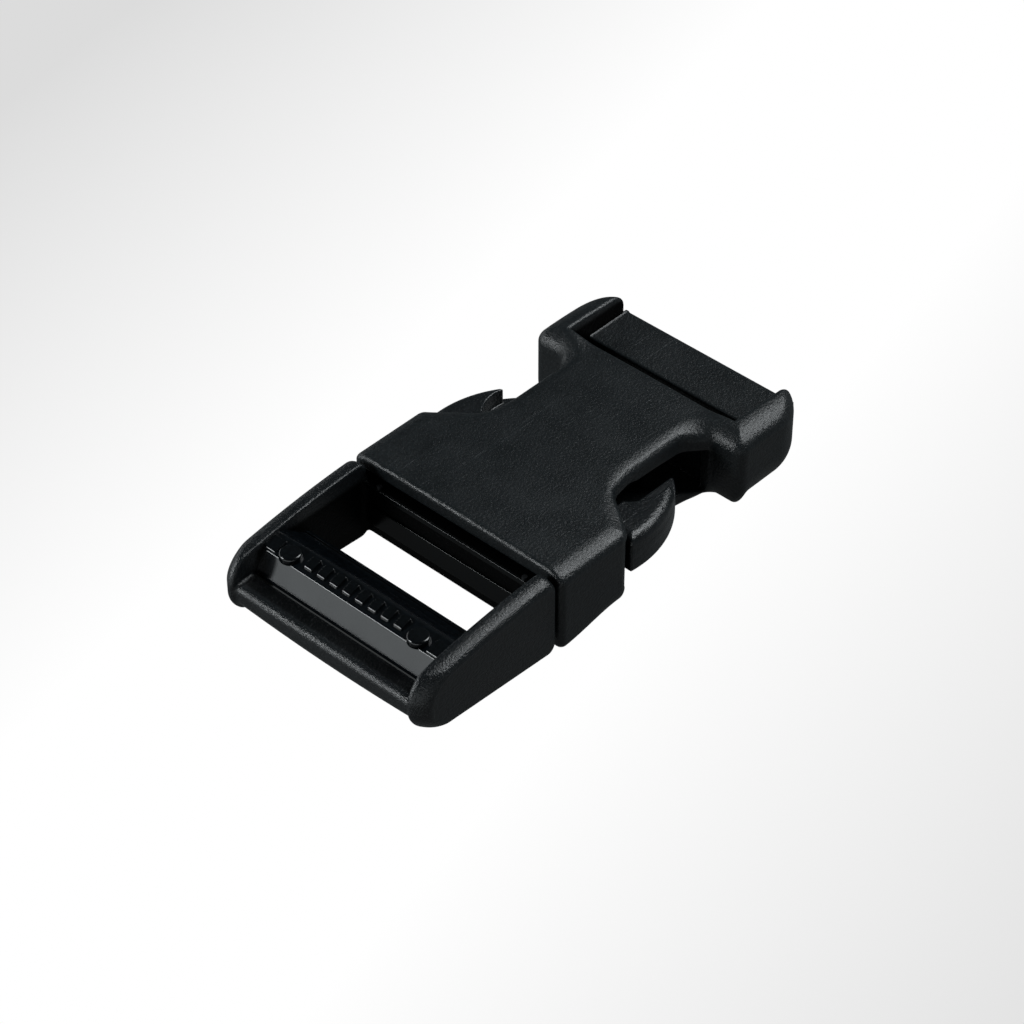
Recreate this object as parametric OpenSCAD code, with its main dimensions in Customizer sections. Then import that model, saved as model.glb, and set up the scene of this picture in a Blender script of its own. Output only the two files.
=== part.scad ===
// Side-release buckle for 25 mm webbing. The socket carries a fixed web bar, and the
// plug carries two flexing latch arms and a toothed ladder-lock strap adjuster.
// Stations along the length are counted from the tail end of the plug towards the web
// bar, along +X. Widths run along Y, left is +Y, and Z is up. The origin is the centre
// of the closed buckle's footprint, on its underside.

/* [Overall] */
// Length of the closed buckle
overall_len = 67.8; // [66.8:0.1:68.4]
// Width across the straight sides of the socket
body_w = 33; // [32.4:0.1:33.4]
// Height at the crest of the top face
body_h = 11.4; // [11.3:0.1:11.8]
// Height of the ears beside the strap slot
ear_h = 11.9; // [11.8:0.1:12.4]
// Rise of the top face from its sides to its crest
crown = 0.2; // [0.1:0.05:0.4]
// Width of the strap slots, for 25 mm webbing
slot_w = 26; // [25.5:0.1:26.5]

/* [Socket] */
// Station of the mouth, where the plug goes in
mouth_x = 22.8; // [22.7:0.1:23]
// Length of the closed band behind the mouth
band_len = 11.2; // [10:0.1:11.4]
// Thickness of the top and bottom plates at their sides
plate_t = 1.9; // [1.6:0.1:1.9]
// Thickness of the band's side walls
cheek_t = 1.6; // [1.4:0.1:1.7]
// Width of the waist between the finger recesses
waist_w = 19.4; // [18.6:0.2:19.8]
// Length of the strap slot along the buckle
web_slot_len = 3.4; // [3:0.1:3.6]
// Length of the web bar along the buckle
web_bar_len = 7.7; // [7:0.1:7.8]
// Thickness of the web bar
web_bar_t = 4.5; // [4:0.1:5]

/* [Plug] */
// Width across the outside of the rails
plug_w = 32.2; // [31.6:0.1:32.4]
// Thickness of each rail
rail_t = 2.3; // [2.1:0.1:2.5]
// Height of the rails where they meet the socket
rail_h = 11.3; // [11:0.05:11.35]
// Radius of the rails' rounded tail end
nose_r = 3.85; // [3.5:0.05:3.9]
// Pitch of the strap-gripping teeth
tooth_pitch = 2.02; // [1.9:0.02:2.1]
// Number of teeth
tooth_count = 8; // [6:2:8]
// Width of one tooth
tooth_w = 1.3; // [1:0.05:1.4]
// Half width of the centre guide
guide_half_w = 3; // [2.4:0.1:3]

/* [Latch arms] */
// Width of an arm's beam
beam_w = 1.8; // [1.6:0.1:1.8]
// Height of an arm's beam
beam_h = 3.1; // [2.8:0.1:3.4]
// Height of an arm's finger pad
pad_h = 5.3; // [4.8:0.1:5.3]
// Radius of the finger pad's outer face
pad_r = 14.3; // [13.9:0.05:14.4]

/* [Hidden] */
$fn = 64;

socket_colour = [0.09, 0.09, 0.10];
plug_colour = [0.06, 0.06, 0.07];
arm_colour = [0.08, 0.08, 0.09];

half_w = body_w / 2;
floor_z = plate_t;
ceiling_z = body_h - plate_t - 0.2;
band_end_x = mouth_x + band_len;

// Rounding of the socket: its mouth, the long edges of its band, and the ears, whose
// undersides are rounded the most. Pairs are [top, bottom].
mouth_r = 0.8;
band_edge_r = [1.4, 2];
ear_edge_r = [2.8, 4.2];
end_r = [3.4, 4.2];
corner_r = 6;
ear_start_x = 46;

// The hourglass outline leaves the band at a steep slope, runs along the waist, flares
// out, and meets the square front faces of the ears.
band_turn_x = band_end_x - 2.5;
band_turn_r = 4.2;
front_slope = 55;
front_fillet_r = 2;
waist_front_slope = 10;
waist_y = waist_w / 2;
flare_x = 50.4;
flare_fillet_r = 2;
flare_slope = 40;
ear_front_x = 53.8;
ear_turn_r = 1.5;

// A lip hangs from the top plate along the waist, and stops the arms when pressed.
lip_x = 43;
lip_z = 8.4;
lip_t = 1;

// The rear wall is set back between the ears' front faces.
wall_front_x = 54.6;
wall_pocket_y = 10.6;

web_bar_x = overall_len - web_bar_len;
web_slot_x = web_bar_x - web_slot_len;
web_bar_z = 3.9;

// Ribs inside the socket that steer the centre guide.
rib_x = [27, 50];
rib_t = 1.1;
rib_h = 1.4;
rib_gap = 0.4;

rail_y = plug_w / 2 - rail_t;
rail_end_x = mouth_x - 0.4;
rail_base_z = 0.1;
rail_bottom_rise = 0.06;
nose_z = 5.05;
nose_corner_r = 2.2;

head_front_x = rail_end_x - 0.8;
head_back_x = mouth_x + 2.5;
head_flange_t = 0.9;
head_top_z = 8.6;
head_flange_z = 1.4;
head_tongue_z = 2.3;
head_tongue_y = half_w - cheek_t - 0.4;
pip_y = 11.5;
pip_r = 0.35;

// The tooth bar: a leaning front face, a short top that carries the teeth, and a long
// slope down to the strap opening. Points are [station, height].
bar_front = [[5.4, 2.6], [4.7, 4.4], [4.2, 5.8]];
bar_face = [5.45, 8.95];
bar_crest = [8.2, 9.5];
bar_tail = [13.5, 5.6];
tooth_front = [6.4, 9.65];
tooth_rise = 0.4;
boss_x = 6.4;
boss_y = 10.1;
boss_r = 1.4;
boss_top_z = 9.9;

lip_top_front = [1, 5.85];
lip_top_rear = [3.75, 6.05];
lip_belly_z = 2.4;

guide_tip_x = 44.5;
guide_z = [3.7, 7.9];

hinge_x = head_back_x;
hinge_y = 12;
root_r = beam_w / 2;
root_gap = 0.06;
beam_z = 3.9;
pad_z = 3.7;
shoulder_x = band_end_x + 0.8;
// The arc of the pad's outer face, and the arc its raised part is hollowed to inside.
pad_c = [37, 2.2];
pad_hollow_c = [43.4, 8.1];
pad_hollow_r = 5.2;
pad_ledge_y = 10.7;

// Points along a round stretch of an outline, from angle a0 to angle a1.
function turn(cx, cy, r, a0, a1, steps = 8) =
    [for (i = [0:steps]) let (a = a0 + (a1 - a0) * i / steps) [cx + r * cos(a), cy + r * sin(a)]];

function mirrored(points) = [for (i = [len(points) - 1:-1:0]) [points[i][0], -points[i][1]]];

module from_tail() translate([-overall_len / 2, 0, 0]) children();
module mirror_y() mirror([0, 1, 0]) children();
module both_sides() {
    children();
    mirror_y() children();
}
// An outline drawn in X and Y, made solid between two heights.
module upright(z0, z1) translate([0, 0, z0]) linear_extrude(z1 - z0) children();
// An outline drawn in X and Z, made solid between two widths.
module across(y0, y1) translate([0, y1, 0]) rotate([90, 0, 0]) linear_extrude(y1 - y0) children();
// An outline drawn in Y and Z, made solid between two stations.
module lengthwise(x0, x1) translate([x0, 0, 0]) rotate([90, 0, 90]) linear_extrude(x1 - x0) children();

// ---- Socket ----

// Half of the hourglass outline seen from above, from the mouth to the far end.
function hourglass_half() = let (
    leave = [band_turn_x + band_turn_r * sin(front_slope),
             half_w - band_turn_r * (1 - cos(front_slope))],
    reach_y = waist_y + 1.57,
    reach = [leave[0] + (leave[1] - reach_y) / tan(front_slope), reach_y],
    front_c = reach + front_fillet_r * [sin(front_slope), cos(front_slope)],
    flare_end = [flare_x + flare_fillet_r * sin(flare_slope),
                 waist_y + flare_fillet_r * (1 - cos(flare_slope))],
    ear_front_y = flare_end[1] + (ear_front_x - flare_end[0]) * tan(flare_slope)
) concat(
    turn(mouth_x + mouth_r, half_w - mouth_r, mouth_r, 180, 90),
    turn(band_turn_x, half_w - band_turn_r, band_turn_r, 90, 90 - front_slope),
    turn(front_c[0], front_c[1], front_fillet_r, 270 - front_slope, 270 - waist_front_slope),
    [[42.2, waist_y]],
    turn(flare_x, waist_y + flare_fillet_r, flare_fillet_r, 270, 270 + flare_slope),
    [[ear_front_x, ear_front_y]],
    turn(ear_front_x + ear_turn_r, half_w - ear_turn_r, ear_turn_r, 180, 90),
    turn(overall_len - corner_r, half_w - corner_r, corner_r, 90, 0)
);

module hourglass() polygon(concat(hourglass_half(), mirrored(hourglass_half())));

// The socket seen from the side at one height of its top, with its ends rounded.
module socket_side(top) polygon(concat(
    turn(mouth_x + mouth_r, mouth_r, mouth_r, 270, 180),
    turn(mouth_x + mouth_r, top - mouth_r, mouth_r, 180, 90),
    turn(overall_len - end_r[0], top - end_r[0], end_r[0], 90, 0),
    turn(overall_len - end_r[1], end_r[1], end_r[1], 0, -90)
));

// Height of the crowned top face at a distance from the centre plane.
crown_r = (half_w * half_w + crown * crown) / (2 * crown);
function crest(y) = body_h - crown_r + sqrt(crown_r * crown_r - y * y);

// Half of the socket seen from its end: a crowned top and rounded long edges, from the
// bottom centre round to the top centre. The ears stand above the crest by a rise.
function socket_end_half(r, rise) = let (flat_y = half_w - r[0]) concat(
    [[0, 0]],
    turn(half_w - r[1], r[1], r[1], -90, 0),
    turn(flat_y, crest(flat_y) + rise - r[0], r[0], 0, 90),
    [for (i = [7:-1:0]) [flat_y * i / 8, crest(flat_y * i / 8) + rise]]
);

module socket_end(r, rise = 0) {
    half = socket_end_half(r, rise);
    polygon(concat(half, [for (i = [len(half) - 1:-1:0]) [-half[i][0], half[i][1]]]));
}

module socket_solid() intersection() {
    across(-half_w, half_w) socket_side(body_h);
    union() {
        lengthwise(mouth_x, ear_start_x) socket_end(band_edge_r);
        lengthwise(ear_start_x, overall_len) socket_end(ear_edge_r);
    }
    children();
}

// A plate is the hourglass up to the strap slot, without the ears.
module plate_outline() intersection() {
    hourglass();
    union() {
        translate([mouth_x, -half_w]) square([flare_x - mouth_x, body_w]);
        translate([mouth_x, -slot_w / 2]) square([web_slot_x - mouth_x, slot_w]);
    }
}

module waist_lip_outline() intersection() {
    difference() {
        hourglass();
        offset(delta = -lip_t) hourglass();
    }
    translate([lip_x, -half_w]) square([ear_front_x - lip_x, body_w]);
}

module top_plate() color(socket_colour) from_tail() socket_solid() {
    upright(ceiling_z, body_h) plate_outline();
    upright(lip_z, ceiling_z) waist_lip_outline();
}

module bottom_plate() color(socket_colour) from_tail()
    socket_solid() upright(0, floor_z) plate_outline();

module cheek() color(socket_colour) from_tail()
    socket_solid() upright(floor_z, ceiling_z) intersection() {
        hourglass();
        translate([mouth_x, half_w - cheek_t]) square([band_len, cheek_t]);
    }

module ear() color(socket_colour) from_tail() intersection() {
    across(slot_w / 2, half_w) socket_side(ear_h);
    lengthwise(ear_front_x, overall_len) socket_end(ear_edge_r, ear_h - crest(slot_w / 2));
    upright(0, ear_h) hourglass();
}

module rear_wall() color(socket_colour) from_tail()
    upright(floor_z, ceiling_z) intersection() {
        hourglass();
        difference() {
            translate([ear_front_x, -slot_w / 2]) square([web_slot_x - ear_front_x, slot_w]);
            translate([flare_x, -wall_pocket_y]) square([wall_front_x - flare_x, 2 * wall_pocket_y]);
        }
    }

module web_bar() color(socket_colour) from_tail()
    across(-slot_w / 2, slot_w / 2) polygon(concat(
        turn(web_bar_x + 0.5, web_bar_z + web_bar_t - 0.5, 0.5, 180, 90),
        turn(overall_len - 1, web_bar_z + web_bar_t - 1, 1, 90, 0),
        turn(overall_len - 1, web_bar_z + 1, 1, 0, -90),
        turn(web_bar_x + 1, web_bar_z + 1, 1, 270, 180)
    ));

module guide_ribs() color(socket_colour) from_tail() both_sides()
    for (z = [floor_z, ceiling_z - rib_h])
        translate([rib_x[0], guide_half_w + rib_gap, z]) cube([rib_x[1] - rib_x[0], rib_t, rib_h]);

// ---- Plug ----

// How far the top of a rail has dropped at a distance from the mouth.
function rail_drop(s) = 0.025 * s + 0.004 * s * s;

module rail_side() {
    top_len = rail_end_x - nose_r;
    polygon(concat(
        [for (i = [0:8]) let (s = top_len * i / 8) [rail_end_x - s, rail_h - rail_drop(s)]],
        turn(nose_r, nose_z, nose_r, 100, 260, 12),
        [[rail_end_x - top_len, rail_base_z + rail_bottom_rise * top_len], [rail_end_x, rail_base_z]]
    ));
}

module rail() color(plug_colour) from_tail() intersection() {
    across(rail_y, plug_w / 2) rail_side();
    upright(0, body_h) polygon(concat(
        turn(nose_corner_r, plug_w / 2 - nose_corner_r, nose_corner_r, 180, 90),
        [[rail_end_x, plug_w / 2], [rail_end_x, rail_y], [0, rail_y]]
    ));
}

// The cross bar at the socket's mouth: a flange outside and a tongue inside, with a
// round seat at each end for an arm's root.
module head_bar() color(plug_colour) from_tail() difference() {
    union() {
        translate([head_front_x, -rail_y, head_flange_z])
            cube([head_flange_t, 2 * rail_y, head_top_z - head_flange_z]);
        translate([head_front_x + head_flange_t, -head_tongue_y, head_tongue_z])
            cube([head_back_x - head_front_x - head_flange_t, 2 * head_tongue_y, head_top_z - head_tongue_z]);
    }
    both_sides() translate([hinge_x, hinge_y, 0]) cylinder(r = root_r + root_gap, h = body_h);
}

module head_bar_pips() color(plug_colour) from_tail() both_sides()
    translate([head_front_x + head_flange_t / 2, pip_y, head_top_z]) cylinder(r = pip_r, h = 0.4);

module tooth_bar_side() polygon(concat(bar_front, [
    bar_face, bar_crest, bar_crest + [0.9, -0.3],
    bar_tail + [-0.4, 0.5], bar_tail, bar_tail + [-0.6, -1], [8, 2.6]
]));

module tooth_bar() color(plug_colour) from_tail() across(-rail_y, rail_y) tooth_bar_side();

// A tooth ramps up from the bar's front edge and stands square at the back.
module teeth() color(plug_colour) from_tail()
    for (i = [0:tooth_count - 1]) {
        y = (i - (tooth_count - 1) / 2) * tooth_pitch;
        across(y - tooth_w / 2, y + tooth_w / 2) polygon([
            bar_face, tooth_front, bar_crest + [-0.1, tooth_rise], bar_crest
        ]);
    }

module end_bosses() color(plug_colour) from_tail() difference() {
    both_sides() translate([boss_x, boss_y, boss_top_z - 1.2]) cylinder(r = boss_r, h = 1.2);
    across(-rail_y, rail_y) tooth_bar_side();
}

module lip_bar() color(plug_colour) from_tail() across(-rail_y, rail_y) polygon(concat(
    [lip_top_front, lip_top_rear, [lip_top_rear[0], lip_belly_z + 0.4]],
    turn(2.5, lip_belly_z + 1.7, 1.7, 290, 190)
));

module center_guide() color(plug_colour) from_tail() upright(guide_z[0], guide_z[1]) polygon(concat(
    [[head_back_x, -guide_half_w], [guide_tip_x - 8, -guide_half_w]],
    turn(guide_tip_x - 1.6, 0, 1.6, -60, 60),
    [[guide_tip_x - 8, guide_half_w], [head_back_x, guide_half_w]]
));

// ---- Latch arms ----

module arm_beam() color(arm_colour) from_tail() upright(beam_z, beam_z + beam_h) union() {
    translate([hinge_x, hinge_y]) circle(r = root_r);
    translate([hinge_x, hinge_y - root_r]) square([shoulder_x - hinge_x, beam_w]);
}

// The finger pad: a flat shoulder that catches behind the band and a bowed outer face.
// Its low part is a ledge that slides in under the socket, and its raised part is
// hollowed on the inside, clear of the waist.
module arm_pad() color(arm_colour) from_tail() {
    inner_y = hinge_y - root_r;
    upright(pad_z, beam_z + beam_h) polygon(concat(
        [[shoulder_x, inner_y]],
        turn(pad_c[0], pad_c[1], pad_r, 98, 38, 20),
        [[pad_c[0] + pad_r * cos(38), pad_ledge_y], [41.5, pad_ledge_y], [39, inner_y]]
    ));
    upright(beam_z + beam_h, pad_z + pad_h) polygon(concat(
        [[shoulder_x, inner_y]],
        turn(pad_c[0], pad_c[1], pad_r, 98, 56, 14),
        turn(pad_hollow_c[0], pad_hollow_c[1], pad_hollow_r, 74, 144, 12)
    ));
}

top_plate();
bottom_plate();
cheek();  // left_cheek
mirror_y() cheek();  // right_cheek
ear();  // left_ear
mirror_y() ear();  // right_ear
rear_wall();
web_bar();
guide_ribs();
rail();  // left_rail
mirror_y() rail();  // right_rail
head_bar();
head_bar_pips();
tooth_bar();
teeth();
end_bosses();
lip_bar();
center_guide();
arm_beam();  // left_arm_beam
arm_pad();  // left_arm_pad
mirror_y() arm_beam();  // right_arm_beam
mirror_y() arm_pad();  // right_arm_pad
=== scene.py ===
import math

import bmesh
import bpy
import numpy as np
from mathutils import Matrix, Vector


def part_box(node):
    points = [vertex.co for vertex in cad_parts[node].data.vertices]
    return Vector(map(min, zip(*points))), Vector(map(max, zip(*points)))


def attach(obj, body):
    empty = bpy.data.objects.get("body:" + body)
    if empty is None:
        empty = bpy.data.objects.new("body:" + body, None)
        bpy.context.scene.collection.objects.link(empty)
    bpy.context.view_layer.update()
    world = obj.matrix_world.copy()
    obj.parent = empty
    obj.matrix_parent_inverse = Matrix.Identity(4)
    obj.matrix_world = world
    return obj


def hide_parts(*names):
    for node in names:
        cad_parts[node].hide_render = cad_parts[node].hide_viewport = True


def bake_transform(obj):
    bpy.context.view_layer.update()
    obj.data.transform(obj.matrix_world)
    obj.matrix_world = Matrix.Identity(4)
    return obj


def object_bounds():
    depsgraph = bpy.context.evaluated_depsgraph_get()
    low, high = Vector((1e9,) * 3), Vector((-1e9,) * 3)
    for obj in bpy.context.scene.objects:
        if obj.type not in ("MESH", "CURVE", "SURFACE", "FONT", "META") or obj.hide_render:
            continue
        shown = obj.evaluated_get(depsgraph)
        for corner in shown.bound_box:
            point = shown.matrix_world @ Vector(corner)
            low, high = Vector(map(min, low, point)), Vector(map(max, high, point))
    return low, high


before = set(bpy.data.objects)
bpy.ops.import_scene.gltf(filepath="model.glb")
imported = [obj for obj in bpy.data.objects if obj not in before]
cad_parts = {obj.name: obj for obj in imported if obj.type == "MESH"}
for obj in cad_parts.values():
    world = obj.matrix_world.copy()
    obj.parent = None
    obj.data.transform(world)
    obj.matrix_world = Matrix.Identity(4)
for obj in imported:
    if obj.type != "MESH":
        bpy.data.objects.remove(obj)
cad_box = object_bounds()

MM = 0.001
TAIL = cad_box[0][0]


# ---- Places, in millimetres: stations from the plug's tail along +X, widths along Y, heights along Z ----

def cad(node):
    """The lowest and highest corner of a node's box."""
    lo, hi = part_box(node)
    return tuple([(p[0] - TAIL) / MM, p[1] / MM, p[2] / MM] for p in (lo, hi))


def metres(points):
    out = np.array(points, dtype=float) * MM
    out[:, 0] += TAIL
    return out


# The socket: its mouth, the closed band behind it, and the ears beside the slot and the web bar.
(MOUTH_X, _, _), (_, HALF_W, BODY_H) = cad("top_plate")
(EAR_X, EAR_IN, _), (FAR_X, _, EAR_H) = cad("left_ear")
(_, CHEEK_IN, FLOOR_Z), (BAND_END, _, _) = cad("left_cheek")
SLOT_X = cad("rear_wall")[1][0]
BAR_LO, BAR_HI = cad("web_bar")
REAR_WALL_T, TOP_T = 2.1, 2.1
WALL_X = SLOT_X - REAR_WALL_T
POCKET_W = 10.6
REAR_CORNER = 5.6

# The edges of its finger recesses: a point on each line and its direction in degrees.
WAIST_W = 9.7
RECESS_FRONT = (35.65, 14.21), -55
WAIST = (42.2, WAIST_W), -10
FLARE = (51.69, 10.17), 40

# The plug: its side rails, the head bar at the mouth, and the lip bar across its tail.
RAIL_LO, RAIL_HI = cad("left_rail")
RAIL_IN, RAIL_OUT = RAIL_LO[1], RAIL_HI[1]
HEAD_LO, HEAD_HI = cad("head_bar")
TONGUE_FOOT = 2.3
LIP_START, LIP_END, LIP_TOP, LIP_BELLY = 0.9, 3.8, 6.08, 2.15

# A latch arm: its beam, and its pad, bowed outside on a circle. The pad's raised part is hollowed
# on a second circle, and the low ledge below it reaches further in.
BEAM_LO, BEAM_HI = cad("left_arm_beam")
PAD_LO, PAD_HI = cad("left_arm_pad")
PAD_CX, PAD_CY = 37, 2.2
PAD_R = PAD_HI[1] - PAD_CY
PAD_TOP = PAD_HI[2] + 0.2
RAISED_END = 44.9
HOLLOW_X, HOLLOW_Y, HOLLOW_R = 43.4, 8.1, 5.2
LEDGE_IN, LEDGE_Z = 10.7, BEAM_HI[2]

# The tooth bar's outline from the side, and those of a tooth and of the low lands beside the bosses.
TOOTH_BAR = [(5.4, 2.6), (4.7, 4.4), (4.12, 5.8), (5.45, 8.95), (8.2, 9.5), (9.1, 9.2),
             (12.1, 6.85), (12.25, 7.1), (13.1, 6.45), (13.5, 5.7), (12.9, 4.7), (8, 2.6)]
TOOTH = [(6.05, 8.95), (6.12, 9.4), (6.9, 9.72), (7.8, 9.85), (7.9, 9.3), (6.4, 8.8)]
TOOTH_PITCH, TOOTH_COUNT, TOOTH_W = 2.02, 8, 1.3
LAND = [(5.5, 8.8), (5.7, 9.2), (7.6, 9.6), (7.75, 9.2), (6.0, 8.6)]
LAND_IN = 11.9
BOSS_X, BOSS_Y, BOSS_R = 6.4, 10.1, 1.4
BOSS_FOOT, BOSS_TOP = 8.75, 9.9
BOSS_FOOT_R, BOSS_TOP_R = 0.3, 0.35

# Two ledges along the head bar's face: lower and upper edge, and how far back each one stands.
HEAD_LEDGES = (2.75, 5.6, 0), (7.85, 8.6, 0.05)
LEDGE_DEPTH = 0.5


# ---- Camera ----

AZIMUTH, ELEVATION, ROLL = (math.radians(v) for v in (-46.912, 40.952, -0.163))
LOOKED_AT = Vector((TAIL / MM + 31.2, 0, 5.9))
DISTANCE, SHIFT_RIGHT, SHIFT_UP = 385.5, 0.743, 0.064


def look_from_photo():
    back = Vector((math.sin(AZIMUTH) * math.cos(ELEVATION), -math.cos(AZIMUTH) * math.cos(ELEVATION),
                   math.sin(ELEVATION)))
    level = Vector((math.cos(AZIMUTH), math.sin(AZIMUTH), 0))
    rise = back.cross(level)
    right = level * math.cos(ROLL) + rise * math.sin(ROLL)
    up = rise * math.cos(ROLL) - level * math.sin(ROLL)
    place = LOOKED_AT + right * SHIFT_RIGHT + up * SHIFT_UP + back * DISTANCE
    data = bpy.data.cameras.new("camera")
    data.lens = 116.4
    data.sensor_width = 36
    data.clip_start = 0.01
    camera = bpy.data.objects.new("camera", data)
    bpy.context.scene.collection.objects.link(camera)
    camera.matrix_world = Matrix((
        (right.x, up.x, back.x, place.x * MM), (right.y, up.y, back.y, place.y * MM),
        (right.z, up.z, back.z, place.z * MM), (0, 0, 0, 1)))
    bpy.context.scene.camera = camera


look_from_photo()


# ---- Moulded shapes, as distance fields ----
# A field takes x, y, z in millimetres and is negative inside. Corners are rounded where two
# surfaces meet, and a radius may change from place to place.

def common(a, b, r):
    """The space inside both, with a rounded outside corner."""
    return np.minimum(np.maximum(a, b), -r) + np.hypot(np.maximum(r + a, 0), np.maximum(r + b, 0))


def joined(a, b, r):
    """The space inside either, with a fillet in the inside corner."""
    return -common(-a, -b, r)


def cut(a, b, r):
    """The first without the second, with a rounded edge."""
    return common(a, -b, r)


def between(v, lo, hi):
    return np.maximum(lo - v, v - hi)


def ease(v, lo, hi):
    t = np.clip((v - lo) / (hi - lo), 0, 1)
    return t * t * (3 - 2 * t)


def slope(x, y, at, degrees):
    """Distance past a straight line through a point, positive on the left of its direction."""
    a = math.radians(degrees)
    return -(x - at[0]) * math.sin(a) + (y - at[1]) * math.cos(a)


def crest(x, y, side):
    """The top face: a slight crown, rising into the ears, and falling away towards the sides."""
    crown = 0.2 * (y / HALF_W) ** 2
    rise = ease(x, 47, 57) * (0.55 - 0.25 * ease(x, 58, 66))
    fall_width = 2.4 - 0.6 * ease(x, 34, 37) + 1.2 * ease(x, 49, 54)
    fall = 0.16 * np.maximum(side + fall_width, 0) ** 2
    return BODY_H - crown + rise * ease(np.abs(y), 8.5, 13.2) - fall


def hourglass(x, w):
    """The socket's outline from above at half width w: its sides alone, and with both ends."""
    front = -slope(x, w, *RECESS_FRONT)
    waist = np.maximum(-slope(x, w, *WAIST), WAIST_W - w)
    flare = -slope(x, w, *FLARE)
    recess = common(common(common(front, waist, 0.8), flare, 0.5), x - EAR_X, 0.3)
    side = cut(w - HALF_W, recess, 0.9 + 0.6 * ease(x, 42, 48))
    return side, common(common(side, x - FAR_X, REAR_CORNER), MOUTH_X - x, 0.9)


def socket_block(x, y, z, side, plan):
    """The socket before it is hollowed."""
    top_r = 0.6 + 0.1 * ease(x, 34, 37) + 1.3 * ease(x, 61, 66)
    low_r = 0.7 + 1.7 * ease(x, 23, 33) - 1.6 * ease(x, 34, 37) + 4.6 * ease(x, 50.5, 57)
    return common(common(plan, z - crest(x, y, side), top_r), -z, low_r)


def socket_hollow(x, w, z, plan):
    """Open at the mouth and at the finger recesses, closed by the rear wall, and shallower under
    the waist's edges, where a lip hangs from the top plate."""
    lip = ease(plan, -1.3, -0.9) * ease(x, 41, 44) * (0.6 + 0.5 * ease(x, 44, 53))
    tall = common(FLOOR_Z - z, z - BODY_H + TOP_T + lip, 0.2)
    band = np.maximum(w - CHEEK_IN, x - BAND_END)
    window = np.maximum(BAND_END - 0.1 - x, x - EAR_X + 0.02)
    deep = common(w - POCKET_W, x - WALL_X, 0.3)
    return np.maximum(tall, np.minimum(np.minimum(band, window), deep))


def socket(x, y, z):
    w = np.abs(y)
    side, plan = hourglass(x, w)
    shell = socket_block(x, y, z, side, plan)
    # The slot for the webbing, and the open end beyond it where the web bar goes.
    shell = cut(shell, np.maximum(SLOT_X - x, w - EAR_IN), 0.45)
    return cut(shell, socket_hollow(x, w, z, plan), 0.28)


def web_bar(x, y, z):
    w = np.abs(y)
    r = 0.2
    flare = r - np.sqrt(np.maximum(r ** 2 - np.clip(w - EAR_IN + r, 0, r) ** 2, 0))
    top = z - BAR_HI[2] - flare
    body = np.maximum(common(BAR_LO[0] - x, top, 0.35), common(x - BAR_HI[0], top, 1.1))
    low = common(BAR_LO[2] - z, between(x, BAR_LO[0], BAR_HI[0]), 1.0)
    return np.maximum(np.maximum(body, low), w - EAR_IN - 0.25)


def rail_top(x):
    drop = RAIL_HI[0] - x
    return RAIL_HI[2] - 0.025 * drop - 0.004 * drop * drop


def rails(x, w, z):
    """A side rail: a bowed top that falls to a rounded nose at the tail."""
    nose = 1 - ease(x, 0.5, 5)
    top = z - rail_top(x) + 0.26 * np.maximum(w - RAIL_IN - 0.65, 0) ** 2
    low = RAIL_LO[2] + 0.06 * (RAIL_HI[0] - x) - z
    side = common(common(top, -x, 3.0), low, 0.01)
    side = common(common(-x, low, 3.3), side, 0.01)
    side = common(common(side, x - RAIL_HI[0], 1.5), low, 0.4)
    side = common(side, w - RAIL_OUT, 0.45 + 2.9 * nose)
    return common(side, RAIL_IN - w, 0.28 + 0.5 * nose)


def lip_bar(x, w, z):
    """The bar across the tail, with a bowed belly."""
    top = z - LIP_TOP + 0.08 * (3.75 - x)
    belly = LIP_BELLY + 0.4 * (w / 13) ** 2 - z
    lip = common(np.maximum(LIP_START - x, w - RAIL_IN - 0.8), top, 0.8)
    return common(common(lip, belly, 1.7), x - LIP_END, 0.2)


def head_flange(x, w, z):
    """The head bar's face, between the rails."""
    front_and_foot = np.maximum(HEAD_LO[0] + 0.18 - x, HEAD_LO[2] - z)
    back_and_ends = np.maximum(x - HEAD_LO[0] - 0.9, w - RAIL_IN - 0.8)
    return common(common(front_and_foot, back_and_ends, 0.05), z - HEAD_HI[2], 0.2)


def head_tongue(x, w, z):
    """The part of the head bar that fills the socket's mouth."""
    tongue = common(between(x, HEAD_LO[0] + 0.3, HEAD_HI[0]), between(z, TONGUE_FOOT, HEAD_HI[2]), 0.25)
    return common(tongue, w - HEAD_HI[1], 0.4)


def plug_frame(x, y, z):
    w = np.abs(y)
    frame_bars = joined(joined(rails(x, w, z), lip_bar(x, w, z), 0.35), head_flange(x, w, z), 0.9)
    return np.minimum(frame_bars, head_tongue(x, w, z))


def arm(x, y, z):
    """A latch arm. The pad has a shoulder behind the band, a bowed outside, and a low ledge inside
    below a raised part that is hollowed clear of the waist."""
    w = np.abs(y)
    outside = common(np.hypot(x - PAD_CX, w - PAD_CY) - PAD_R, PAD_LO[0] - x, 0.3)
    inside = LEDGE_IN + 0.4 * (1 - ease(x, 38.5, 41.5)) - w
    ledge = common(common(outside, inside, 0.5), z - LEDGE_Z, 0.2)
    ledge = common(ledge, PAD_LO[2] - z, 0.9)
    raised = common(outside, z - PAD_TOP, 1.3)
    raised = cut(raised, np.hypot(x - HOLLOW_X, w - HOLLOW_Y) - HOLLOW_R, 0.2)
    raised = common(common(raised, x - RAISED_END, 0.25), np.maximum(BEAM_LO[1] - w, LEDGE_Z - 1 - z), 0.2)
    beam = common(between(w, BEAM_LO[1], BEAM_HI[1]), between(x, BEAM_LO[0], PAD_LO[0] + 1.5), 0.3)
    beam = common(beam, between(z, BEAM_LO[2], BEAM_HI[2]), 0.4)
    return joined(joined(ledge, raised, 0.12), beam, 0.6)


# ---- From a distance field to a mesh ----

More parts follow.
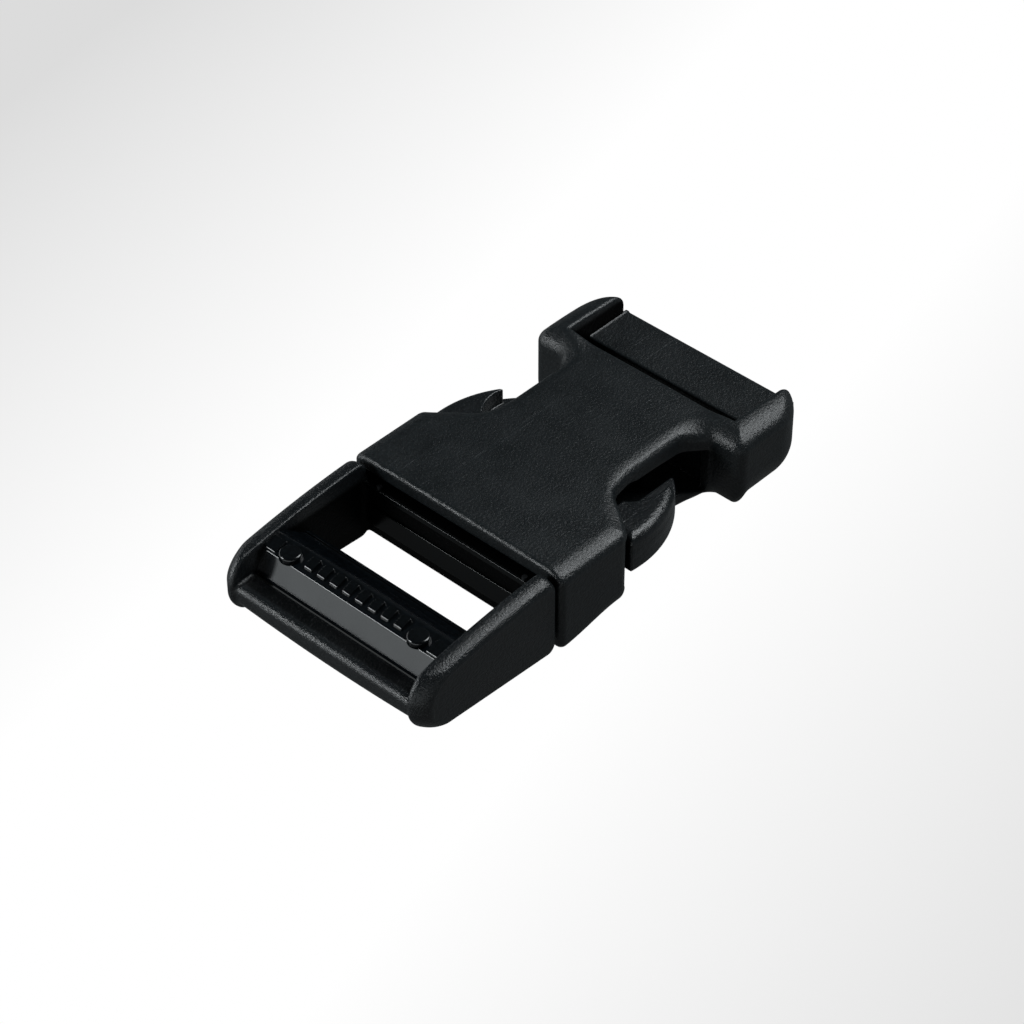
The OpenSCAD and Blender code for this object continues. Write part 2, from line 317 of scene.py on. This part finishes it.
def crossed_edges(d, k, stride):
    """The grid edges along one axis that the surface crosses: the crossing's place on each, the
    four cells round it, and those cells again in the order that turns their face outward."""
    start = tuple(slice(None, -1) if i == k else slice(None) for i in range(3))
    end = tuple(slice(1, None) if i == k else slice(None) for i in range(3))
    crossed = (d[start] < 0) != (d[end] < 0)
    at = np.argwhere(crossed)
    a, b = d[start][crossed], d[end][crossed]
    place = at.astype(float)
    place[:, k] += a / (a - b)
    i, j = (k + 1) % 3, (k + 2) % 3
    ring = []
    for di, dj in ((-1, -1), (0, -1), (0, 0), (-1, 0)):
        cell = at.copy()
        cell[:, i] += di
        cell[:, j] += dj
        ring.append(cell @ stride)
    ring = np.stack(ring, axis=1)
    return place, ring, np.where((a < 0)[:, None], ring, ring[:, ::-1])


def surface_nets(field, lo, hi, step):
    """A closed quad mesh on the field's zero surface, each point moved onto the surface itself and
    kept inside the box."""
    box = np.array(lo, dtype=float), np.array(hi, dtype=float)
    lo, hi = box[0] - 1.5 * step, box[1] + 1.5 * step
    count = np.ceil((hi - lo) / step).astype(int) + 1
    along = [lo[k] + step * np.arange(count[k]) for k in range(3)]
    grid = along[0][:, None, None], along[1][None, :, None], along[2][None, None, :]
    d = np.array(np.broadcast_to(field(*grid), tuple(count)))
    d[d == 0] = 1e-6
    stride = np.array([count[1] * count[2], count[2], 1])
    cells, points, faces = [], [], []
    for k in range(3):
        place, ring, face = crossed_edges(d, k, stride)
        cells += [ring[:, n] for n in range(4)]
        points += [place] * 4
        faces.append(face)
    cells, points = np.concatenate(cells), np.concatenate(points)
    ids, index = np.unique(cells, return_inverse=True)
    total = np.bincount(index)
    verts = np.stack([np.bincount(index, weights=points[:, k]) / total for k in range(3)], axis=1) * step + lo
    return np.clip(settled(field, verts, step), *box), np.searchsorted(ids, np.concatenate(faces))


def settled(field, verts, step):
    """The points moved along the field's slope onto its zero surface, in three short moves."""
    for _ in range(3):
        value, gradient = sample(field, verts, 0.02)
        move = value[:, None] * gradient / np.maximum((gradient ** 2).sum(axis=1), 0.05)[:, None]
        length = np.linalg.norm(move, axis=1)
        verts = verts - move * np.minimum(1, 0.7 * step / np.maximum(length, 1e-9))[:, None]
    return verts


def sample(field, at, e):
    """The field's value and slope at each point."""
    x, y, z = at.T
    value = field(x, y, z)
    grad = [(field(x + a * e, y + b * e, z + c * e) - field(x - a * e, y - b * e, z - c * e)) / (2 * e)
            for a, b, c in ((1, 0, 0), (0, 1, 0), (0, 0, 1))]
    return value, np.stack(grad, axis=1)


def edge_worn(field, at, e=0.35):
    """How sharply the surface turns outward at each point, 0 flat to 1 on a tight edge."""
    x, y, z = at.T
    ring = sum(field(x + a * e, y + b * e, z + c * e)
               for a, b, c in ((1, 0, 0), (-1, 0, 0), (0, 1, 0), (0, -1, 0), (0, 0, 1), (0, 0, -1)))
    return np.clip((ring - 6 * field(x, y, z)) / (e * e) * 0.6, 0, 1)


def linked(name, mesh):
    """A smooth object in the scene from a finished mesh."""
    obj = bpy.data.objects.new(name, mesh)
    bpy.context.scene.collection.objects.link(obj)
    mesh.polygons.foreach_set("use_smooth", np.ones(len(mesh.polygons), dtype=bool))
    return obj


def piece(name, verts, faces, wear_and_shade):
    """A mesh object from points in millimetres and faces of one size."""
    mesh = bpy.data.meshes.new(name)
    mesh.vertices.add(len(verts))
    mesh.vertices.foreach_set("co", metres(verts).ravel())
    mesh.loops.add(faces.size)
    mesh.loops.foreach_set("vertex_index", faces.ravel())
    mesh.polygons.add(len(faces))
    mesh.polygons.foreach_set("loop_start", np.arange(len(faces)) * faces.shape[1])
    mesh.update(calc_edges=True)
    # One attribute: edge wear above 0, painted shade below 0.
    mesh.attributes.new("wear_and_shade", "FLOAT", "POINT").data.foreach_set("value", wear_and_shade.astype(np.float32))
    return linked(name, mesh)


def moulded(name, field, lo, hi, step, shade_mask=None):
    """A moulding, with its edges worn and painted shade in its hidden recesses, where the shade mask pulls
    the attribute below 0.
    """
    verts, faces = surface_nets(field, lo, hi, step)
    wear_and_shade = edge_worn(field, verts)
    if shade_mask:
        # Painted shade: the mask pulls the attribute towards -1, which the material paints darker and duller.
        wear_and_shade -= (1 + wear_and_shade) * shade_mask(*verts.T)
    return piece(name, verts, faces, wear_and_shade)


def dress(obj, material, body, slot, *nodes):
    """Give a piece its material and its body, and let it stand for the CAD nodes it shows."""
    obj.data.materials.clear()
    obj.data.materials.append(material)
    if body:
        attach(obj, body)
    if nodes:
        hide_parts(*nodes)


def as_modelled(material, *nodes):
    """CAD nodes that are shown as they are."""
    for name in nodes:
        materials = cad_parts[name].data.materials
        materials.clear()
        materials.append(material)


# ---- Crisp pieces ----

def prism(bm, outline, y0, y1):
    """An outline in x and z carried from one width to another."""
    ends = [[bm.verts.new((TAIL + x * MM, y * MM, z * MM)) for x, z in outline] for y in (y0, y1)]
    faces = [bm.faces.new(list(reversed(ends[0]))), bm.faces.new(ends[1])]
    for i in range(len(outline)):
        j = (i + 1) % len(outline)
        faces.append(bm.faces.new((ends[0][i], ends[0][j], ends[1][j], ends[1][i])))
    bmesh.ops.recalc_face_normals(bm, faces=faces)


def turn(r_centre, z_centre, r, start, end):
    """Points round an arc, every 15 degrees."""
    angles = [math.radians(a) for a in range(start, end + 1, 15)]
    return [(r_centre + r * math.cos(a), z_centre + r * math.sin(a)) for a in angles]


def lathe(bm, cx, cy, foot, profile, top, steps=48):
    """A round solid about a vertical axis, from its (radius, height) profile, closed to a point on
    the axis at its foot and its top."""
    def ring(r, z):
        angles = [2 * math.pi * i / steps for i in range(steps)]
        return [bm.verts.new((TAIL + (cx + r * math.cos(t)) * MM, (cy + r * math.sin(t)) * MM, z * MM))
                for t in angles]

    rings = [ring(r, z) for r, z in profile]
    low, high = (bm.verts.new((TAIL + cx * MM, cy * MM, z * MM)) for z in (foot, top))
    for i in range(steps):
        j = (i + 1) % steps
        bm.faces.new((low, rings[0][j], rings[0][i]))
        bm.faces.new((rings[-1][i], rings[-1][j], high))
        for a, b in zip(rings, rings[1:]):
            bm.faces.new((a[i], a[j], b[j], b[i]))


def bevelled(name, bm, width, segments=3, angle=20):
    """An object from a bmesh, with every edge sharper than the angle rounded off."""
    mesh = bpy.data.meshes.new(name)
    bm.to_mesh(mesh)
    bm.free()
    obj = linked(name, mesh)
    mod = obj.modifiers.new("edges", "BEVEL")
    mod.width = width * MM
    mod.segments = segments
    mod.limit_method = "ANGLE"
    mod.angle_limit = math.radians(angle)
    mod.harden_normals = True
    return obj


# ---- Materials ----

class Tree:
    """A new material's shader nodes, with short ways to add and wire them."""

    def __init__(self, name):
        self.material = bpy.data.materials.new(name)
        self.material.use_nodes = True
        self.material.node_tree.nodes.clear()

    def add(self, kind, **values):
        node = self.material.node_tree.nodes.new(kind)
        for key, value in values.items():
            setattr(node, key, value)
        return node

    def link(self, output, socket):
        self.material.node_tree.links.new(output, socket)

    def maths(self, operation, a, b=None):
        node = self.add("ShaderNodeMath", operation=operation)
        self.link(a, node.inputs[0])
        if isinstance(b, float):
            node.inputs[1].default_value = b
        elif b is not None:
            self.link(b, node.inputs[1])
        return node.outputs[0]

    def ramp(self, value, lo, hi, out_lo, out_hi, **values):
        node = self.add("ShaderNodeMapRange", **values)
        for key, number in zip(("From Min", "From Max", "To Min", "To Max"), (lo, hi, out_lo, out_hi)):
            node.inputs[key].default_value = number
        self.link(value, node.inputs["Value"])
        return node.outputs["Result"]

    def noise(self, where, scale, detail, roughness, distortion=0.0):
        node = self.add("ShaderNodeTexNoise")
        settings = {"Scale": scale, "Detail": detail, "Roughness": roughness, "Distortion": distortion}
        for key, number in settings.items():
            node.inputs[key].default_value = number
        self.link(where, node.inputs["Vector"])
        return node.outputs["Fac"]

    def stretched(self, where, scale, turned=0):
        """A place scaled by a different amount along each axis, which turns noise into streaks."""
        node = self.add("ShaderNodeMapping")
        node.inputs["Rotation"].default_value = (0, 0, math.radians(turned))
        node.inputs["Scale"].default_value = scale
        self.link(where, node.inputs["Vector"])
        return node.outputs[0]

    def towards(self, start, colour, factor):
        """A colour that goes from a start, which may be another node's, to a fixed one."""
        node = self.add("ShaderNodeMix", data_type="RGBA")
        if isinstance(start, tuple):
            node.inputs["A"].default_value = start
        else:
            self.link(start, node.inputs["A"])
        node.inputs["B"].default_value = colour
        self.link(factor, node.inputs["Factor"])
        return node.outputs["Result"]

    def mix_shaders(self, factor, a, b):
        node = self.add("ShaderNodeMixShader")
        for i, output in enumerate((factor, a, b)):
            self.link(output, node.inputs[i])
        return node.outputs[0]

    def finish(self, output):
        self.link(output, self.add("ShaderNodeOutputMaterial").inputs[0])
        return self.material


def scaled(tone, gain, lift=0.0):
    """A darker or paler colour of the same tone."""
    return (*[c * gain + lift for c in tone], 1)


IOR = 1.48
BLOTCH_SCALE, DUST_SCALE = 170, 9000
SCUFF_STRETCH, SCUFF_TURN = (60, 1500, 400), 24
STREAK_STRETCH = (1, 2600, 90)


def plastic(name, tone, rough, grain, depth, spec=0.5, streak=0.0):
    """Black acetal: a spark-eroded grain in the bump, with duller and shinier patches, faint scuffs, and
    burnished edges. Hidden recesses, where wear_and_shade is below 0, get painted shade: a darker colour, a
    weaker reflection and a duller surface."""
    tree = Tree(name)
    shader = tree.add("ShaderNodeBsdfPrincipled")
    shader.inputs["IOR"].default_value = IOR
    where = tree.add("ShaderNodeTexCoord").outputs["Object"]
    wear_and_shade = tree.add("ShaderNodeAttribute", attribute_name="wear_and_shade").outputs["Fac"]
    blotch = tree.noise(where, BLOTCH_SCALE, 3, 0.55)
    pits = tree.noise(where, grain, 3, 0.6)
    dust = tree.noise(where, DUST_SCALE, 2, 0.5)
    # Scuffs: thin streaks from noise stretched along the length of the buckle.
    scuff_place = tree.stretched(where, SCUFF_STRETCH, SCUFF_TURN)
    scuff = tree.ramp(tree.noise(scuff_place, 1.0, 2, 0.5, 0.4), 0.66, 0.74, 0, 1)

    mottle = tree.maths("ADD", blotch, tree.ramp(pits, 0.35, 0.65, -0.6, 0.6))
    colour = tree.towards(scaled(tone, 0.66), scaled(tone, 1.42), tree.ramp(mottle, 0, 1, 0, 1))
    rubbed = tree.maths("MAXIMUM", tree.maths("MULTIPLY", scuff, 0.35), tree.maths("MULTIPLY", wear_and_shade, 0.25))
    colour = tree.towards(colour, scaled(tone, 2.2, 0.004), rubbed)
    # Painted shade: where the attribute is below 0 the colour goes nearly black and the specular level drops
    # to a tenth.
    colour = tree.towards(colour, scaled(tone, 0.06), tree.ramp(wear_and_shade, 0, -1, 0, 1))
    tree.link(colour, shader.inputs["Base Color"])
    tree.link(tree.ramp(wear_and_shade, 0, -1, spec, spec * 0.1), shader.inputs["Specular IOR Level"])

    gloss = tree.ramp(blotch, 0.3, 0.7, rough - 0.05, rough + 0.06)
    gloss = tree.maths("SUBTRACT", gloss, tree.maths("MULTIPLY", wear_and_shade, 0.07))
    gloss = tree.maths("ADD", gloss, tree.ramp(dust, 0.3, 0.7, -0.03, 0.03))
    tree.link(gloss, shader.inputs["Roughness"])

    height = tree.maths("ADD", tree.ramp(pits, 0.25, 0.75, 0, 1), tree.ramp(dust, 0.25, 0.75, 0, 0.35))
    height = tree.maths("ADD", height, tree.ramp(scuff, 0, 1, 0, -0.3))
    if streak:
        lines = tree.noise(tree.stretched(where, STREAK_STRETCH), 1.0, 2, 0.6)
        height = tree.maths("ADD", height, tree.ramp(lines, 0.3, 0.7, 0, streak))
    bump = tree.add("ShaderNodeBump")
    bump.inputs["Strength"].default_value = 1.0
    bump.inputs["Distance"].default_value = depth * MM
    tree.link(height, bump.inputs["Height"])
    tree.link(bump.outputs[0], shader.inputs["Normal"])
    return tree.finish(shader.outputs[0])


SOCKET = plastic("socket_grain", (0.0056, 0.0076, 0.0086), 0.385, 2900, 0.046)
PLUG = plastic("plug_grain", (0.006, 0.0075, 0.0085), 0.30, 3400, 0.05)
ARM = plastic("arm_grain", (0.0065, 0.008, 0.009), 0.29, 2500, 0.045)
GLOSS = plastic("polished_bar", (0.002, 0.003, 0.004), 0.12, 1500, 0.0018, streak=0.8)
TEETH = plastic("polished_teeth", (0.0016, 0.0024, 0.003), 0.17, 2600, 0.004)
# Painted shade: a darker tone and a weak specular level keep the ledges dim on the shaded head bar face.
SHADED_LEDGES = plastic("satin_ledges_shaded", (0.0012, 0.0018, 0.002), 0.22, 2600, 0.004, spec=0.2)
INNER = plastic("moulded_inside", (0.008, 0.009, 0.010), 0.40, 3000, 0.015)


# ---- Socket ----

def socket_painted_shade(x, y, z):
    """Painted shade on the ears' inner walls, beside the slot and the web bar."""
    along = ease(x, SLOT_X - 0.3, SLOT_X)
    across = ease(EAR_IN + 0.1 - np.abs(y), -0.1, 0.05)
    return along * across * ease(EAR_H - 0.7 - z, 0, 0.8)


SOCKET_BOX = (MOUTH_X, -HALF_W, 0), (FAR_X, HALF_W, EAR_H)
dress(moulded("socket_shell", socket, *SOCKET_BOX, 0.17, socket_painted_shade), SOCKET,
      "socket", "socket_plastic",
      "top_plate", "bottom_plate", "left_cheek", "right_cheek", "left_ear", "right_ear", "rear_wall")

BAR_END = EAR_IN + 0.3
BAR_BOX = (BAR_LO[0], -BAR_END, BAR_LO[2]), (BAR_HI[0], BAR_END, BAR_HI[2] + 0.5)
dress(moulded("web_bar_moulding", web_bar, *BAR_BOX, 0.2), SOCKET, "socket", "socket_plastic", "web_bar")

as_modelled(INNER, "guide_ribs")


# ---- Plug ----

def plug_painted_shade(x, y, z):
    """Painted shade on the faces inside the strap opening, below the rails' tops, and on the lip's top."""
    inwards = RAIL_IN - np.abs(y)
    lip = 0.7 * ease(x, 1.6, 2.2) * ease(inwards - 0.1, 0, 0.5)
    opening = ease(x, 3.9, 5) * ease(HEAD_HI[2] + 0.9 - z, 0, 1)
    return np.where(x < 3.9, lip, opening) * ease(inwards, -0.3, -0.05)


def bars(name, runs, bevel):
    """Straight pieces that run across the plug, each an outline and where it starts and ends."""
    bm = bmesh.new()
    for outline, y0, y1 in runs:
        prism(bm, outline, y0, y1)
    return bevelled(name, bm, bevel)


def boss_pair():
    """A round boss at each end of the row of teeth."""
    bm = bmesh.new()
    profile = turn(BOSS_R - BOSS_FOOT_R, BOSS_FOOT + BOSS_FOOT_R, BOSS_FOOT_R, -90, 0)
    profile += turn(BOSS_R - BOSS_TOP_R, BOSS_TOP - BOSS_TOP_R, BOSS_TOP_R, 0, 90)
    for y in (-BOSS_Y, BOSS_Y):
        lathe(bm, BOSS_X, y, BOSS_FOOT, profile, BOSS_TOP)
    bmesh.ops.recalc_face_normals(bm, faces=bm.faces)
    return bevelled("boss_pair", bm, 0.01, 1, 60)


PLUG_BOX = (0, -RAIL_OUT, 0), (HEAD_HI[0], RAIL_OUT, RAIL_HI[2])
dress(moulded("plug_frame", plug_frame, *PLUG_BOX, 0.14, plug_painted_shade), PLUG,
      "plug", "plug_plastic", "left_rail", "right_rail", "lip_bar", "head_bar")

tooth_bar = bars("tooth_bar_moulding", [(TOOTH_BAR, -RAIL_IN - 0.2, RAIL_IN + 0.2)], 0.12)
dress(tooth_bar, GLOSS, "plug", "gloss_plastic", "tooth_bar")

rows = [(i - (TOOTH_COUNT - 1) / 2) * TOOTH_PITCH for i in range(TOOTH_COUNT)]
teeth = bars("strap_teeth", [(TOOTH, y - TOOTH_W / 2, y + TOOTH_W / 2) for y in rows], 0.15)
dress(teeth, TEETH, "plug", "gloss_plastic", "teeth")

WALL_END = RAIL_IN + 0.1
end_lands = bars("end_lands", [(LAND, -WALL_END, -LAND_IN), (LAND, LAND_IN, WALL_END)], 0.13)
dress(end_lands, TEETH, "plug", "gloss_plastic")

ledge_runs = []
for low, high, back in HEAD_LEDGES:
    x = HEAD_LO[0] + back
    outline = [(x, low), (x, high), (x + LEDGE_DEPTH, high), (x + LEDGE_DEPTH, low)]
    ledge_runs.append((outline, -WALL_END, WALL_END))
dress(bars("head_ledges", ledge_runs, 0.1), SHADED_LEDGES, "plug", "plug_plastic")

dress(boss_pair(), TEETH, "plug", "gloss_plastic", "end_bosses")
as_modelled(INNER, "center_guide", "head_bar_pips")


# ---- Latch arms ----

ARM_BOX = (BEAM_LO[0], PAD_LO[1], PAD_LO[2]), (PAD_HI[0], PAD_HI[1], PAD_TOP)
arm_verts, arm_faces = surface_nets(arm, *ARM_BOX, 0.12)
arm_worn = edge_worn(arm, arm_verts)
for side, sign in (("left", 1), ("right", -1)):
    obj = piece(side + "_latch_arm", arm_verts * (1, sign, 1), arm_faces[:, ::sign], arm_worn)
    dress(obj, ARM, None, "arm_plastic", side + "_arm_beam", side + "_arm_pad")
    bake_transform(obj)


# ---- Studio ----

LIGHTS_AIM = Vector((0, 0, 0.005))


def area(name, place, size, power, tint):
    """A soft box, turned towards the buckle."""
    light = bpy.data.lights.new(name, "AREA")
    light.shape = "RECTANGLE"
    light.size, light.size_y = size
    light.energy = power
    light.color = tint
    obj = bpy.data.objects.new(name, light)
    obj.location = place
    obj.rotation_euler = (Vector(place) - LIGHTS_AIM).to_track_quat("Z", "Y").to_euler()
    bpy.context.scene.collection.objects.link(obj)


world = bpy.data.worlds.new("studio")
world.use_nodes = True
world.node_tree.nodes["Background"].inputs[0].default_value = (0.85, 0.95, 1.0, 1)
world.node_tree.nodes["Background"].inputs[1].default_value = 0.05
bpy.context.scene.world = world

# A high box behind the right side, a long low wall along the left, and a small box in front of it.
area("right_back_box", (0.33, -0.18, 0.46), (0.32, 0.32), 3.0, (0.94, 0.98, 1.0))
area("left_wall", (-0.15, 0.7, 0.09), (0.9, 0.16), 0.9, (0.95, 0.98, 1.0))
area("front_left_box", (-0.47, 0.31, 0.20), (0.2, 0.13), 1.8, (0.94, 0.98, 1.0))

# In metres: the floor's half size and how far it lies below the buckle, where its bright patch
# begins and is full, which way its light falls off, and where that starts and ends.
FLOOR_HALF, FLOOR_DROP = 3, 0.02 * MM
PATCH_START, PATCH_FULL = -0.040, -0.070
FALL_ALONG, FALL_MIDDLE = (-0.2, 0.98, 0), 0.006
FALL_START, FALL_END, FALL_LOW = 0.025, 0.103, 0.715


def paper(name, lit, glow):
    """White paper under even light that falls off to both sides, and a duller one in reflections,
    with a bright patch in front of the buckle that only shiny faces pick up."""
    tree = Tree(name)
    rays = tree.add("ShaderNodeLightPath").outputs
    geometry = tree.add("ShaderNodeNewGeometry").outputs
    split = tree.add("ShaderNodeSeparateXYZ")
    tree.link(geometry["Position"], split.inputs[0])
    patch = tree.ramp(split.outputs["X"], PATCH_START, PATCH_FULL, 0, glow, interpolation_type="SMOOTHSTEP")
    shown = tree.maths("MULTIPLY", patch, rays["Is Glossy Ray"])
    dull = tree.add("ShaderNodeEmission")
    dull.inputs["Color"].default_value = (0.92, 0.98, 1.0, 1)
    tree.link(tree.ramp(shown, 0, 1, lit, 1 + lit, clamp=False), dull.inputs["Strength"])

    across = tree.add("ShaderNodeVectorMath", operation="DOT_PRODUCT")
    across.inputs[1].default_value = FALL_ALONG
    tree.link(geometry["Position"], across.inputs[0])
    centred = tree.ramp(across.outputs["Value"], -1, 1, -1 - FALL_MIDDLE, 1 - FALL_MIDDLE)
    seen = tree.add("ShaderNodeEmission")
    fall = tree.ramp(tree.maths("ABSOLUTE", centred), FALL_START, FALL_END, 1, FALL_LOW)
    tree.link(fall, seen.inputs["Strength"])

    face = tree.mix_shaders(rays["Is Camera Ray"], dull.outputs[0], seen.outputs[0])
    # Seen from below, the paper is left out, so the underside shows.
    clear = tree.add("ShaderNodeBsdfTransparent").outputs[0]
    return tree.finish(tree.mix_shaders(geometry["Backfacing"], face, clear))


floor_mesh = bpy.data.meshes.new("floor")
corners = [(x * FLOOR_HALF, y * FLOOR_HALF, 0) for x, y in ((-1, -1), (1, -1), (1, 1), (-1, 1))]
floor_mesh.from_pydata(corners, [], [(0, 1, 2, 3)])
floor = bpy.data.objects.new("floor", floor_mesh)
floor.location.z = cad_box[0][2] - FLOOR_DROP
bpy.context.scene.collection.objects.link(floor)
floor.data.materials.append(paper("paper", 0.12, 1.9))

bpy.context.scene.view_settings.view_transform = "Standard"
